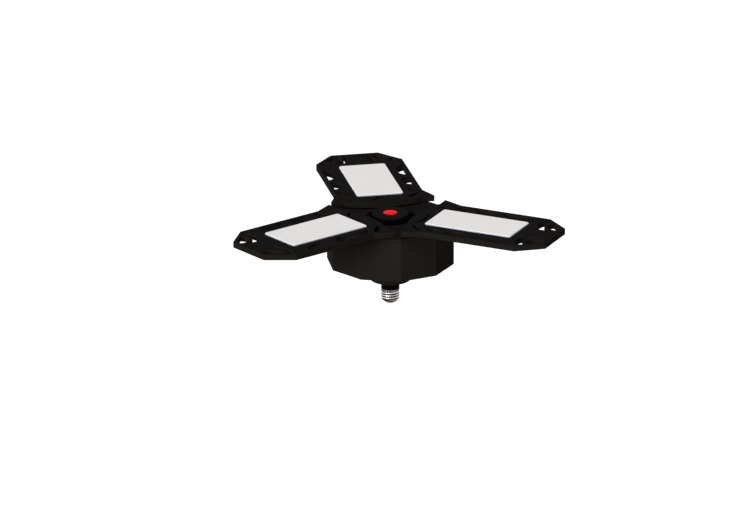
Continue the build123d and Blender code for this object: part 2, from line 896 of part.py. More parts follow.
def transformer():
    """Ferrite core round a wound bobbin."""
    x, y = transformer_place
    core_x, core_y, core_z = transformer_core
    core = Pos(x, y, driver_top + core_z / 2) * Box(core_x, core_y, core_z)
    bob_x, bob_y, bob_z = bobbin_size
    bobbin = Box(bob_x, bob_y, bob_z)
    bobbin = fillet(bobbin.edges().filter_by(Axis.X), bobbin_fillet)
    return core + Pos(x, y, driver_top + core_z / 2) * bobbin


def capacitors():
    """Two upright cans on the driver board."""
    cans = []
    for x, y, radius, height in (large_capacitor, small_capacitor):
        can = disc(radius, driver_top, driver_top + height)
        can = fillet(can.faces().sort_by(Axis.Z)[-1].edges(), capacitor_edge)
        cans.append(Pos(x, y) * can)
    return cans


def choke():
    """Wound ring lying on the driver board."""
    return Pos(*choke_place, driver_top + choke_wire_radius) * Torus(
        choke_ring_radius, choke_wire_radius
    )


def fuse():
    """Round fuse lying along the driver board."""
    return Pos(*fuse_place, driver_top + fuse_radius) * Rot(0, 90, 0) * Cylinder(
        fuse_radius, fuse_length
    )


def save(name, *solids):
    """Write one node, made of one or several separate solids."""
    shape = solids[0] if len(solids) == 1 else Compound(children=list(solids))
    export_step(shape, f"parts/{name}.step")
    print(name, len(shape.solids()), round(shape.volume, 1))


def main():
    os.makedirs("parts", exist_ok=True)
    save("hub_housing", hub_housing())
    save("hub_top_plate", hub_top_plate())
    save("top_plate_screws", *top_plate_screws())
    save("rest_pads", *rest_pads())
    save("centre_skirt", centre_skirt())
    save("centre_cap", centre_cap())
    save("indicator_lens", indicator_lens())
    save("back_cover", back_cover())
    save("back_cover_screws", *cover_screws())
    save("cap_neck", cap_neck())
    save("neck_screws", *neck_screws())
    save("cap_shell", cap_shell())
    save("cap_insulator", cap_insulator())
    save("cap_contact", cap_contact())
    save("driver_board", driver_board())
    save("driver_screws", *driver_screws())
    save("transformer", transformer())
    save("capacitors", *capacitors())
    save("choke", choke())
    save("fuse", fuse())
    leaf_parts = {
        "hinge_bracket": [hinge_bracket()],
        "bracket_screws": bracket_screws(),
        "leaf_frame": [leaf_frame()],
        "back_plate": [back_plate()],
        "back_plate_screws": back_plate_screws(),
        "led_board": [led_board()],
        "led_chips": led_chips(),
        "diffuser": [diffuser()],
        "hinge_pins": hinge_pins(),
        "hinge_washers": hinge_washers(),
    }
    for number, heading in enumerate(leaf_headings, 1):
        for name, solids in leaf_parts.items():
            save(f"{name}_{number}", *on_leaf(solids, heading))


main()
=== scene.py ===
import json
import math

import bmesh
import bpy
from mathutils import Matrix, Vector


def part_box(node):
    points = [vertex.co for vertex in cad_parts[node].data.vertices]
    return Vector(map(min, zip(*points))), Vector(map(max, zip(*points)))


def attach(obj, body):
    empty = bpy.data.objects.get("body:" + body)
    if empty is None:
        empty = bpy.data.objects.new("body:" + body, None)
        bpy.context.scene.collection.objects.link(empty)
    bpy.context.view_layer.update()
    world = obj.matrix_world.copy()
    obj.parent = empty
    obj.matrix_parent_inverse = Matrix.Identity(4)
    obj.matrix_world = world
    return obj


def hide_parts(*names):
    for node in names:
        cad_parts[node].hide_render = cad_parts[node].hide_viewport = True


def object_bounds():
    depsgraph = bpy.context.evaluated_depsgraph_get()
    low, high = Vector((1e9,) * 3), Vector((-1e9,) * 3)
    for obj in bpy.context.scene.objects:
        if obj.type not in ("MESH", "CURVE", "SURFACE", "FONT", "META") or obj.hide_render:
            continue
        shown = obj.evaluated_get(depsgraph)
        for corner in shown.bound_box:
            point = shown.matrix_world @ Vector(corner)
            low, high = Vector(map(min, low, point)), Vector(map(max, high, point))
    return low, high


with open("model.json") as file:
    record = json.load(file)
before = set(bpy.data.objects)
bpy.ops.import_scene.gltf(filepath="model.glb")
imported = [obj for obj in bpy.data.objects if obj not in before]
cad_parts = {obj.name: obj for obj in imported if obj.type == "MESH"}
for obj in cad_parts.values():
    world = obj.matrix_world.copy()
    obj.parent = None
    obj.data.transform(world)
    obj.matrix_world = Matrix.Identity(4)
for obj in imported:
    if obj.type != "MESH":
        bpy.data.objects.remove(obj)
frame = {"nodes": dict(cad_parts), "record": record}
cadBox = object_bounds()
nodes = frame["nodes"]
bodies = frame["record"]["behaviour"]["bodies"]
bodyOfNode = {node: body for body, names in bodies.items() for node in names}
slotOfNode = {row["node"]: row["material_slot"] for row in frame["record"]["subparts"]}
scene = bpy.context.scene
leaves = (1, 2, 3)
mm = 0.001
print("frame loaded:", len(nodes), "nodes")


def addNode(tree, kind, inputs=None, **settings):
    # an input takes a value, a socket to link, or a list of sockets
    node = tree.nodes.new(kind)
    for key, value in settings.items():
        setattr(node, key, value)
    for key, value in (inputs or {}).items():
        for source in value if isinstance(value, list) else [value]:
            if isinstance(source, bpy.types.NodeSocket):
                tree.links.new(source, node.inputs[key])
            else:
                node.inputs[key].default_value = source
    return node


def mathNode(tree, operation, *values, clamp=False):
    settings = {"operation": operation, "use_clamp": clamp}
    return addNode(tree, "ShaderNodeMath", dict(enumerate(values)), **settings).outputs[0]


def vectorNode(tree, operation, *values):
    inputs = dict(enumerate(values))
    return addNode(tree, "ShaderNodeVectorMath", inputs, operation=operation).outputs


def separate(tree, vector):
    return addNode(tree, "ShaderNodeSeparateXYZ", {0: vector}).outputs


def combine(tree, x=0.0, y=0.0, z=0.0):
    return addNode(tree, "ShaderNodeCombineXYZ", {0: x, 1: y, 2: z}).outputs[0]


def withAlpha(colour):
    return colour if isinstance(colour, bpy.types.NodeSocket) else (*colour, 1)


def mixColour(tree, factor, first, second):
    inputs = {0: factor, 6: withAlpha(first), 7: withAlpha(second)}
    return addNode(tree, "ShaderNodeMix", inputs, data_type="RGBA").outputs[2]


def mapRange(tree, value, low, high, newLow=0.0, newHigh=1.0):
    inputs = {0: value, 1: low, 2: high, 3: newLow, 4: newHigh}
    return addNode(tree, "ShaderNodeMapRange", inputs).outputs[0]


def noise(tree, place, scale, detail, roughness=0.5):
    inputs = {"Vector": place, "Scale": scale, "Detail": detail, "Roughness": roughness}
    return addNode(tree, "ShaderNodeTexNoise", inputs).outputs["Fac"]


def axisRadius(tree, place):
    # distance from the axis of the lamp
    flat = vectorNode(tree, "MULTIPLY", place, (1, 1, 0))[0]
    return vectorNode(tree, "LENGTH", flat)["Value"]


def newGroup(name, settings):
    # a shader group that takes object coordinates and a few named values
    group = bpy.data.node_groups.new(name, "ShaderNodeTree")
    group.interface.new_socket("Vector", in_out="INPUT", socket_type="NodeSocketVector")
    for label, value in settings.items():
        socket = group.interface.new_socket(label, in_out="INPUT", socket_type="NodeSocketFloat")
        socket.default_value = value
    return group, addNode(group, "NodeGroupInput").outputs


def closeGroup(group, results):
    for label in results:
        group.interface.new_socket(label, in_out="OUTPUT", socket_type="NodeSocketFloat")
    addNode(group, "NodeGroupOutput", results)
    return group


grainLook = {
    "pitDetail": 3.0,
    "pitRoughness": 0.6,
    "cloudScale": 22.0,
    "cloudDetail": 4.0,
    "rubScale": 60.0,
    "rubDetail": 6.0,
    "rubStretch": (1, 9, 3),
    "rubTurn": (0, 0, 0.6),
    "rubRange": (0.62, 0.78),
}


def makeMouldGrain():
    # spark-eroded mould skin: fine pits, a slow cloud of sheen and a few soft rub marks
    look = grainLook
    group, given = newGroup("mouldGrain", {"Size": 0.6, "Rubs": 0.3})
    place = given["Vector"]
    pitScale = mathNode(group, "DIVIDE", 1 / mm, given["Size"])
    pits = noise(group, place, pitScale, look["pitDetail"], look["pitRoughness"])
    cloud = noise(group, place, look["cloudScale"], look["cloudDetail"])
    stretch = addNode(group, "ShaderNodeMapping", {
        "Vector": place,
        "Scale": look["rubStretch"],
        "Rotation": look["rubTurn"],
    })
    marks = noise(group, stretch.outputs[0], look["rubScale"], look["rubDetail"])
    rub = mathNode(group, "MULTIPLY", mapRange(group, marks, *look["rubRange"]), given["Rubs"])
    return closeGroup(group, {"Height": pits, "Cloud": cloud, "Rub": rub})


wearLook = {
    "samples": 4,
    "turnRange": (0.995, 0.86),
    "patchScale": 90.0,
    "patchDetail": 5.0,
    "patchRange": (0.35, 0.65),
}


def makeEdgeWear():
    # polished corners: where the rounded normal leaves the flat one
    look = wearLook
    group, given = newGroup("edgeWear", {"Width": 0.5})
    radius = mathNode(group, "DIVIDE", given["Width"], 1 / mm)
    rounded = addNode(group, "ShaderNodeBevel", {"Radius": radius}, samples=look["samples"])
    plain = addNode(group, "ShaderNodeNewGeometry").outputs["Normal"]
    turned = vectorNode(group, "DOT_PRODUCT", rounded.outputs[0], plain)["Value"]
    edge = mapRange(group, turned, *look["turnRange"])
    patches = noise(group, given["Vector"], look["patchScale"], look["patchDetail"])
    broken = mapRange(group, patches, *look["patchRange"])
    return closeGroup(group, {"Mask": mathNode(group, "MULTIPLY", edge, broken)})


drawnLook = {
    "streakDetail": 2.0,
    "cloudScale": 70.0,
    "cloudDetail": 5.0,
}


def makeDrawnMetal():
    # fine parallel marks left by rolling or drawing, with a slow change of sheen
    look = drawnLook
    group, given = newGroup("drawnMetal", {"Length": 12.0, "Width": 0.3})
    along = mathNode(group, "DIVIDE", 1 / mm, given["Length"])
    across = mathNode(group, "DIVIDE", 1 / mm, given["Width"])
    size = combine(group, along, across, across)
    scaled = vectorNode(group, "MULTIPLY", given["Vector"], size)[0]
    streak = noise(group, scaled, 1.0, look["streakDetail"])
    cloud = noise(group, given["Vector"], look["cloudScale"], look["cloudDetail"])
    return closeGroup(group, {"Streak": streak, "Cloud": cloud})


mouldGrain = makeMouldGrain()
edgeWear = makeEdgeWear()
drawnMetal = makeDrawnMetal()
print("shared effects ready")


def newMaterial(name):
    material = bpy.data.materials.new(name)
    material.use_nodes = True
    tree = material.node_tree
    return material, tree, tree.nodes["Principled BSDF"]


def bumpTo(tree, shader, height, strength, distance):
    inputs = {"Strength": strength, "Distance": distance, "Height": height}
    bump = addNode(tree, "ShaderNodeBump", inputs)
    tree.links.new(bump.outputs[0], shader.inputs["Normal"])


surfaceLook = {
    "cloudRange": (0.3, 0.7),
    "sideRange": (0.75, 0.25),
    "wornPolish": 0.15,
    "grainUnderRings": 0.1,
    "plasticBumpMm": 0.1,
    "metalBumpMm": 0.05,
    "streakShare": 0.6,
    "patchScale": 260.0,
    "patchDetail": 4.0,
    "patchRange": (0.25, 0.6, 0.8, 1.0),
}


def makePlastic(name, look):
    material, tree, shader = newMaterial(name)
    place = addNode(tree, "ShaderNodeTexCoord").outputs
    grainInputs = {"Vector": place["Object"], "Size": look["grainMm"], "Rubs": look["rubs"]}
    grain = addNode(tree, "ShaderNodeGroup", grainInputs, node_tree=mouldGrain).outputs
    wearInputs = {"Vector": place["Object"], "Width": look["edgeMm"]}
    wear = addNode(tree, "ShaderNodeGroup", wearInputs, node_tree=edgeWear).outputs["Mask"]
    tone = mixColour(tree, grain["Cloud"], look["dark"], look["light"])
    tone = mixColour(tree, grain["Rub"], tone, look["rubbed"])
    shown = mathNode(tree, "MULTIPLY", wear, look["edgeShow"])
    tone = mixColour(tree, shown, tone, look["rubbed"])
    if "side" in look:  # painted light and shade: upright walls get the side tone in place of lighting, lighter on the black leaves and darker on the diffusers
        upright = mathNode(tree, "ABSOLUTE", separate(tree, place["Normal"])["Z"])
        paintedSideShadingMask = mapRange(tree, upright, *surfaceLook["sideRange"])
        tone = mixColour(tree, paintedSideShadingMask, tone, look["side"])
    tree.links.new(tone, shader.inputs["Base Color"])
    rough = mapRange(tree, grain["Cloud"], *surfaceLook["cloudRange"], *look["roughness"])
    worn = mathNode(tree, "MULTIPLY", wear, surfaceLook["wornPolish"])
    rough = mathNode(tree, "SUBTRACT", rough, worn, clamp=True)
    tree.links.new(rough, shader.inputs["Roughness"])
    shader.inputs["Specular IOR Level"].default_value = look["specular"]
    height = grain["Height"]
    if "ringMm" in look:  # turned rings inside a lens
        turns = mathNode(tree, "DIVIDE", axisRadius(tree, place["Object"]), look["ringMm"] * mm)
        rings = mathNode(tree, "PINGPONG", turns, 0.5)
        faint = mathNode(tree, "MULTIPLY", height, surfaceLook["grainUnderRings"])
        height = mathNode(tree, "ADD", rings, faint)
    bumpTo(tree, shader, height, look["bump"], surfaceLook["plasticBumpMm"] * mm)
    return material


def makeMetal(name, look):
    material, tree, shader = newMaterial(name)
    place = addNode(tree, "ShaderNodeTexCoord").outputs
    along, across = look["streakMm"]
    inputs = {"Vector": place["Object"], "Length": along, "Width": across}
    marks = addNode(tree, "ShaderNodeGroup", inputs, node_tree=drawnMetal).outputs
    tone = mixColour(tree, marks["Cloud"], look["dark"], look["light"])
    if "tarnish" in look:  # painted dark reflection: dull brown on the faces that lean towards the tip of the cap
        low, high, colour = look["tarnish"]
        leaning = mapRange(tree, separate(tree, place["Normal"])["Z"], high, low)
        scale, detail = surfaceLook["patchScale"], surfaceLook["patchDetail"]
        patches = noise(tree, place["Object"], scale, detail)
        patch = mapRange(tree, patches, *surfaceLook["patchRange"])
        tone = mixColour(tree, mathNode(tree, "MULTIPLY", leaning, patch), tone, colour)
    if "groove" in look:  # painted shade: near black from the crest radius in to the root radius, so the thread roots and the drawn-in end are dark
        root, crest, colour = look["groove"]
        radius = axisRadius(tree, place["Object"])
        tone = mixColour(tree, mapRange(tree, radius, crest * mm, root * mm), tone, colour)
    tree.links.new(tone, shader.inputs["Base Color"])
    shader.inputs["Metallic"].default_value = 1.0
    streaks = mathNode(tree, "MULTIPLY", marks["Streak"], surfaceLook["streakShare"])
    clouds = mathNode(tree, "MULTIPLY", marks["Cloud"], 1 - surfaceLook["streakShare"])
    blend = mathNode(tree, "ADD", streaks, clouds)
    rough = mapRange(tree, blend, *surfaceLook["cloudRange"], *look["roughness"])
    tree.links.new(rough, shader.inputs["Roughness"])
    bumpTo(tree, shader, marks["Streak"], look["bump"], surfaceLook["metalBumpMm"] * mm)
    return material


def grey(value):
    return (value, value, value)


plasticLooks = {
    "leafBlack": dict(
        dark=(0.0060, 0.0057, 0.0056), light=(0.0086, 0.0082, 0.0080),
        rubbed=(0.020, 0.019, 0.018), roughness=(0.56, 0.66), specular=0.001, grainMm=0.5,
        # side: painted light, a lighter tone on the leaves' upright walls
        bump=0.25, rubs=0.10, edgeMm=0.5, edgeShow=0.35, side=(0.0128, 0.0115, 0.0098),
    ),
    # painted light: a lighter, warmer black than the leaves' plastic, so that the hub's upright
    # faces look lit
    "hubBlack": dict(
        dark=(0.0125, 0.0112, 0.0096), light=(0.0165, 0.0149, 0.0129),
        rubbed=(0.030, 0.027, 0.023), roughness=(0.55, 0.65), specular=0.001, grainMm=0.5,
        bump=0.25, rubs=0.10, edgeMm=0.6, edgeShow=0.35,
    ),
    "plateBlack": dict(
        dark=(0.0060, 0.0058, 0.0057), light=(0.0084, 0.0081, 0.0079),
        rubbed=(0.018, 0.017, 0.016), roughness=(0.58, 0.68), specular=0.001, grainMm=0.5,
        bump=0.25, rubs=0.08, edgeMm=0.5, edgeShow=0.3,
    ),
    # painted shade: the skirt is far darker than the other black plastic, standing for the deep
    # shade round the centre cap
    "skirtBlack": dict(
        dark=grey(0.0006), light=grey(0.0014), rubbed=grey(0.004), roughness=(0.75, 0.85),
        specular=0.0, grainMm=0.7, bump=0.3, rubs=0.05, edgeMm=0.4, edgeShow=0.2,
    ),
    "neckBlack": dict(
        dark=(0.0016, 0.0016, 0.0017), light=(0.0030, 0.0030, 0.0030),
        rubbed=(0.010, 0.010, 0.010), roughness=(0.50, 0.60), specular=0.002, grainMm=0.6,
        bump=0.25, rubs=0.08, edgeMm=0.4, edgeShow=0.3,
    ),
    "bracketSteel": dict(
        dark=grey(0.006), light=grey(0.010), rubbed=(0.06, 0.06, 0.062),
        roughness=(0.45, 0.58), specular=0.004, grainMm=0.4, bump=0.2, rubs=0.15, edgeMm=0.25,
        edgeShow=0.5,
    ),
    "washerDark": dict(
        dark=grey(0.014), light=grey(0.022), rubbed=grey(0.04), roughness=(0.5, 0.6),
        specular=0.02, grainMm=0.3, bump=0.15, rubs=0.2, edgeMm=0.2, edgeShow=0.3,
    ),
    "padRubber": dict(
        dark=grey(0.014), light=grey(0.022), rubbed=grey(0.04), roughness=(0.7, 0.85),
        specular=0.05, grainMm=0.3, bump=0.2, rubs=0.1, edgeMm=0.3, edgeShow=0.2,
    ),
    "diffuserWhite": dict(
        dark=(0.705, 0.698, 0.688), light=(0.735, 0.728, 0.718), rubbed=(0.77, 0.765, 0.755),
        roughness=(0.45, 0.55), specular=0.04, grainMm=0.8, bump=0.06, rubs=0.08, edgeMm=0.8,
        # side: painted shade, a darker blue-grey on the diffusers' upright edges
        edgeShow=0.2, side=(0.40, 0.45, 0.50),
    ),
    "boardWhite": dict(
        dark=(0.74, 0.74, 0.72), light=(0.80, 0.80, 0.78), rubbed=(0.7, 0.7, 0.68),
        roughness=(0.3, 0.4), specular=0.3, grainMm=0.9, bump=0.1, rubs=0.2, edgeMm=0.3,
        edgeShow=0.3,
    ),
    "boardGreen": dict(
        dark=(0.012, 0.085, 0.035), light=(0.02, 0.13, 0.055), rubbed=(0.03, 0.18, 0.08),
        roughness=(0.28, 0.4), specular=0.3, grainMm=1.4, bump=0.2, rubs=0.4, edgeMm=0.3,
        edgeShow=0.5,
    ),
    "chipYellow": dict(
        dark=(0.72, 0.58, 0.10), light=(0.84, 0.72, 0.18), rubbed=(0.9, 0.8, 0.3),
        roughness=(0.2, 0.3), specular=0.4, grainMm=0.2, bump=0.1, rubs=0.1, edgeMm=0.2,
        edgeShow=0.2,
    ),
    "windingDark": dict(
        dark=(0.05, 0.045, 0.035), light=(0.12, 0.10, 0.08), rubbed=(0.2, 0.18, 0.15),
        roughness=(0.4, 0.55), specular=0.3, grainMm=0.8, bump=0.3, rubs=0.3, edgeMm=0.4,
        edgeShow=0.4,
    ),
    "capacitorBlue": dict(
        dark=(0.020, 0.035, 0.12), light=(0.035, 0.06, 0.2), rubbed=(0.1, 0.14, 0.3),
        roughness=(0.25, 0.35), specular=0.4, grainMm=1.5, bump=0.1, rubs=0.2, edgeMm=0.4,
        edgeShow=0.4,
    ),
    "insulatorGlass": dict(
        dark=(0.040, 0.034, 0.035), light=(0.060, 0.052, 0.052), rubbed=(0.09, 0.08, 0.08),
        roughness=(0.12, 0.2), specular=0.15, grainMm=2.0, bump=0.05, rubs=0.1, edgeMm=0.3,
        edgeShow=0.2,
    ),
    "fuseGlass": dict(
        dark=(0.55, 0.56, 0.56), light=(0.70, 0.71, 0.71), rubbed=grey(0.8),
        roughness=(0.05, 0.12), specular=0.5, grainMm=2.0, bump=0.03, rubs=0.1, edgeMm=0.3,
        edgeShow=0.2,
    ),
    "lensRed": dict(
        dark=(0.82, 0.0030, 0.008), light=(0.92, 0.0045, 0.011), rubbed=(0.9, 0.02, 0.03),
        roughness=(0.16, 0.24), specular=0.006, grainMm=3.0, bump=0.5, ringMm=1.1, rubs=0.05,
        edgeMm=0.3, edgeShow=0.2,
    ),
}
metalLooks = {
    "shellNickel": dict(
        dark=(0.84, 0.81, 0.79), light=(0.96, 0.95, 0.94), roughness=(0.30, 0.40),
        # the dull brown on the flanks that face the tip is a painted dark reflection
        streakMm=(6.0, 0.35), bump=0.10, tarnish=(0.02, 0.12, (0.085, 0.066, 0.066)),
        # near-black painted shade in the thread roots and the drawn-in end
        groove=(12.6, 12.75, (0.012, 0.008, 0.008)),
    ),
    "contactBrass": dict(
        dark=(0.50, 0.42, 0.30), light=(0.80, 0.74, 0.62), roughness=(0.22, 0.36),
        streakMm=(1.5, 0.3), bump=0.25,
    ),
    "backAluminium": dict(
        dark=(0.50, 0.50, 0.51), light=(0.66, 0.66, 0.67), roughness=(0.30, 0.44),
        streakMm=(25.0, 0.25), bump=0.25,
    ),
    "pinSteel": dict(
        dark=grey(0.30), light=grey(0.45), roughness=(0.2, 0.32), streakMm=(2.0, 0.15),
        bump=0.15,
    ),
    "screwSteel": dict(
        dark=grey(0.42), light=(0.62, 0.62, 0.63), roughness=(0.25, 0.38),
        streakMm=(1.0, 0.25), bump=0.2,
    ),
    "windingCopper": dict(
        dark=(0.48, 0.17, 0.06), light=(0.72, 0.33, 0.15), roughness=(0.2, 0.32),
        streakMm=(2.0, 0.4), bump=0.2,
    ),
}
materials = {name: makePlastic(name, look) for name, look in plasticLooks.items()}
materials.update({name: makeMetal(name, look) for name, look in metalLooks.items()})
print("materials ready:", len(materials))


def camel(text):
    first, *rest = text.split("_")
    return first + "".join(word.capitalize() for word in rest)


def materialOf(node):
    return materials[camel(slotOfNode[node])]


def finish(piece, *replaced):
    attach(piece, bodyOfNode[replaced[0]])
    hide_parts(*replaced)


def addObject(name, data):
    added = bpy.data.objects.new(name, data)
    scene.collection.objects.link(added)
    return added


def meshFrom(work, name):
    mesh = bpy.data.meshes.new(name)
    work.to_mesh(mesh)
    work.free()
    return mesh


def smoothed(mesh, node, degrees):
    # rounded surfaces shade smoothly up to a corner of the given angle
    mesh.materials.append(materialOf(node))
    mesh.shade_smooth()
    mesh.set_sharp_from_angle(angle=math.radians(degrees))


softLook = {
    "weldMm": 0.002,
    "flatDegrees": 0.6,
    "smoothDegrees": 32,
    "segments": 2,
}


def mergedCopy(node):
    work = bmesh.new()
    work.from_mesh(nodes[node].data)
    bmesh.ops.remove_doubles(work, verts=work.verts, dist=softLook["weldMm"] * mm)
    return work


def dressed(node, edgeMm):
    # the solid with its flat areas cleared of loose triangle edges and its corners softened
    work = mergedCopy(node)
    bmesh.ops.dissolve_limit(
        work,
        angle_limit=math.radians(softLook["flatDegrees"]),
        verts=work.verts,
        edges=work.edges,
        use_dissolve_boundaries=False,
        delimit=set(),
    )
    mesh = meshFrom(work, camel(node))
    smoothed(mesh, node, softLook["smoothDegrees"])
    piece = addObject(camel(node), mesh)
    bevel = piece.modifiers.new("softEdges", "BEVEL")
    bevel.width = edgeMm * mm
    bevel.segments = softLook["segments"]
    bevel.limit_method = "ANGLE"
    bevel.angle_limit = math.radians(softLook["smoothDegrees"])
    bevel.use_clamp_overlap = True
    flatter = piece.modifiers.new("flatFaces", "WEIGHTED_NORMAL")  # flat faces keep one normal
    flatter.keep_sharp = True
    finish(piece, node)


softEdges = {  # width in mm
    "hub_housing": 0.5,
    "hub_top_plate": 0.3,
    "centre_skirt": 0.25,
    "centre_cap": 0.2,
    "indicator_lens": 0.15,
    "back_cover": 0.3,
    "cap_neck": 0.25,
    "cap_contact": 0.2,
    "transformer": 0.4,
    "capacitors": 0.3,
    "fuse": 0.3,
}
leafSoftEdges = {"leaf_frame": 0.3, "diffuser": 0.25, "back_plate": 0.15, "hinge_bracket": 0.15}
for name, edge in softEdges.items():
    dressed(name, edge)
for leaf in leaves:
    for name, edge in leafSoftEdges.items():
        dressed(f"{name}_{leaf}", edge)
print("solids dressed")


def solidsOf(node):
    # lowest and highest corner of every separate solid in a node
    work = mergedCopy(node)
    left = set(work.verts)
    boxes = []
    while left:
        front = [left.pop()]
        found = list(front)
        while front:
            near = {edge.other_vert(vert) for vert in front for edge in vert.link_edges} & left
            left -= near
            front = list(near)
            found += front
        corners = [
            Vector(pick(vert.co[axis] for vert in found) for axis in range(3))
            for pick in (min, max)
        ]
        boxes.append(tuple(corners))
    work.free()
    return sorted(boxes, key=lambda box: tuple(round(value, 5) for value in box[0]))


def newTree(name, inputs):
    tree = bpy.data.node_groups.new(name, "GeometryNodeTree")
    for side in ("INPUT", "OUTPUT"):
        tree.interface.new_socket("Geometry", in_out=side, socket_type="NodeSocketGeometry")
    tree.interface.new_socket("Finish", in_out="INPUT", socket_type="NodeSocketMaterial")
    for label, value in inputs.items():
        kind = "NodeSocketInt" if isinstance(value, int) else "NodeSocketFloat"
        socket = tree.interface.new_socket(label, in_out="INPUT", socket_type=kind)
        socket.default_value = value
    return tree, addNode(tree, "NodeGroupInput").outputs


def closeTree(tree, geometry, given, smooth):
    real = addNode(tree, "GeometryNodeRealizeInstances", {0: geometry}).outputs[0]
    shading = {0: real, "Shade Smooth": smooth}
    shaded = addNode(tree, "GeometryNodeSetShadeSmooth", shading).outputs[0]
    coating = {0: shaded, "Material": given["Finish"]}
    coated = addNode(tree, "GeometryNodeSetMaterial", coating).outputs[0]
    addNode(tree, "NodeGroupOutput", {0: coated})
    return tree


def placeOfPoint(tree):
    return separate(tree, addNode(tree, "GeometryNodeInputPosition").outputs[0])


def moveTo(tree, mesh, place):
    return addNode(tree, "GeometryNodeSetPosition", {0: mesh, "Position": place}).outputs[0]


def grown(node, tree, values, points=()):
    # runs a tree on the points and keeps its result as a plain mesh in place of the node
    base = bpy.data.meshes.new("places")
    base.from_pydata([tuple(point) for point in points], [], [])
    holder = addObject("holder", base)
    rule = holder.modifiers.new("rule", "NODES")
    rule.node_group = tree
    values = {**values, "Finish": materialOf(node)}
    for item in tree.interface.items_tree:
        if item.item_type == "SOCKET" and item.in_out == "INPUT" and item.name in values:
            rule[item.identifier] = values[item.name]
    graph = bpy.context.evaluated_depsgraph_get()
    mesh = bpy.data.meshes.new_from_object(holder.evaluated_get(graph), depsgraph=graph)
    bpy.data.objects.remove(holder)
    piece = addObject(camel(node), mesh)
    finish(piece, node)
    return piece


screwLook = {
    "Sides": 20,
    "Head Radius": 2.4 * mm,
    "Crown Radius": 2.25 * mm,
    "Crown Height": 0.0,
    "Rim Height": -0.15 * mm,
    "Under Radius": 1.25 * mm,
    "Under Height": -1.15 * mm,
    "Shank Radius": 1.25 * mm,
    "Length": 9.0 * mm,
    "Recess Radius": 1.5 * mm,
    "Recess Depth": 0.9 * mm,
    "Flip": 0.0,
}
panHead = {
    "Crown Radius": 1.7 * mm,
    "Crown Height": 1.15 * mm,
    "Rim Height": 0.5 * mm,
    "Under Radius": 2.4 * mm,
    "Under Height": 0.0,
}
crossLook = {  # shares of the recess radius and depth, and the step from head to shank
    "wingWidth": 0.3,
    "bottomReach": 0.3,
    "topReach": 1.15,
    "depthReach": 1.2,
    "neckStep": 0.02 * mm,
    "spinSeed": 7,
}


def chooseByRing(tree, ring, choices):
    switch = addNode(tree, "GeometryNodeIndexSwitch", data_type="FLOAT")
    while len(switch.index_switch_items) < len(choices):
        switch.index_switch_items.new()
    tree.links.new(ring, switch.inputs["Index"])
    for place, choice in enumerate(choices):
        tree.links.new(choice, switch.inputs[str(place)])
    return switch.outputs[0]


def makeScrewTree():
    # a bar of five rings becomes the screw, and a tapered cross is taken out of its head
    tree, given = newTree("crossScrew", screwLook)
    tail = mathNode(tree, "MULTIPLY", given["Length"], -1.0)
    neck = mathNode(tree, "SUBTRACT", given["Under Height"], crossLook["neckStep"])
    rings = [  # radius and height of each, from the crown down
        (given["Crown Radius"], given["Crown Height"]),
        (given["Head Radius"], given["Rim Height"]),
        (given["Under Radius"], given["Under Height"]),
        (given["Shank Radius"], neck),
        (given["Shank Radius"], tail),
    ]
    bar = addNode(tree, "GeometryNodeMeshCylinder", {
        "Vertices": given["Sides"],
        "Side Segments": len(rings) - 1,
        "Radius": 1.0,
        "Depth": 1.0,
    })
    spot = placeOfPoint(tree)
    ring = mathNode(tree, "MULTIPLY_ADD", spot["Z"], 1.0 - len(rings), len(rings) / 2.0)
    radius, height = (chooseByRing(tree, ring, choices) for choices in zip(*rings))
    outX = mathNode(tree, "MULTIPLY", spot["X"], radius)
    outY = mathNode(tree, "MULTIPLY", spot["Y"], radius)
    screw = moveTo(tree, bar.outputs["Mesh"], combine(tree, outX, outY, height))
    reach, depth = given["Recess Radius"], given["Recess Depth"]
    wing = addNode(tree, "GeometryNodeMeshCone", {
        "Vertices": 4,
        "Radius Bottom": mathNode(tree, "MULTIPLY", reach, crossLook["bottomReach"]),
        "Radius Top": mathNode(tree, "MULTIPLY", reach, crossLook["topReach"]),
        "Depth": mathNode(tree, "MULTIPLY", depth, crossLook["depthReach"]),
    })
    floor = combine(tree, z=mathNode(tree, "SUBTRACT", given["Crown Height"], depth))
    wings = [
        addNode(tree, "GeometryNodeTransform", {
            0: wing.outputs["Mesh"],
            "Translation": floor,
            "Rotation": (0, 0, turn),
            "Scale": (1, crossLook["wingWidth"], 1),
        }).outputs[0]
        for turn in (0.0, math.pi / 2)
    ]
    pair = {"Mesh 1": screw, "Mesh 2": wings}
    cutting = {"operation": "DIFFERENCE", "solver": "EXACT"}
    cutHead = addNode(tree, "GeometryNodeMeshBoolean", pair, **cutting).outputs[0]
    seed = {"Seed": crossLook["spinSeed"]}
    share = addNode(tree, "FunctionNodeRandomValue", seed, data_type="FLOAT").outputs[1]
    spin = mathNode(tree, "MULTIPLY", share, math.tau)
    placed = addNode(tree, "GeometryNodeInstanceOnPoints", {
        "Points": given["Geometry"],
        "Instance": cutHead,
        "Rotation": combine(tree, x=given["Flip"], z=spin),
    })
    return closeTree(tree, placed.outputs[0], given, False)


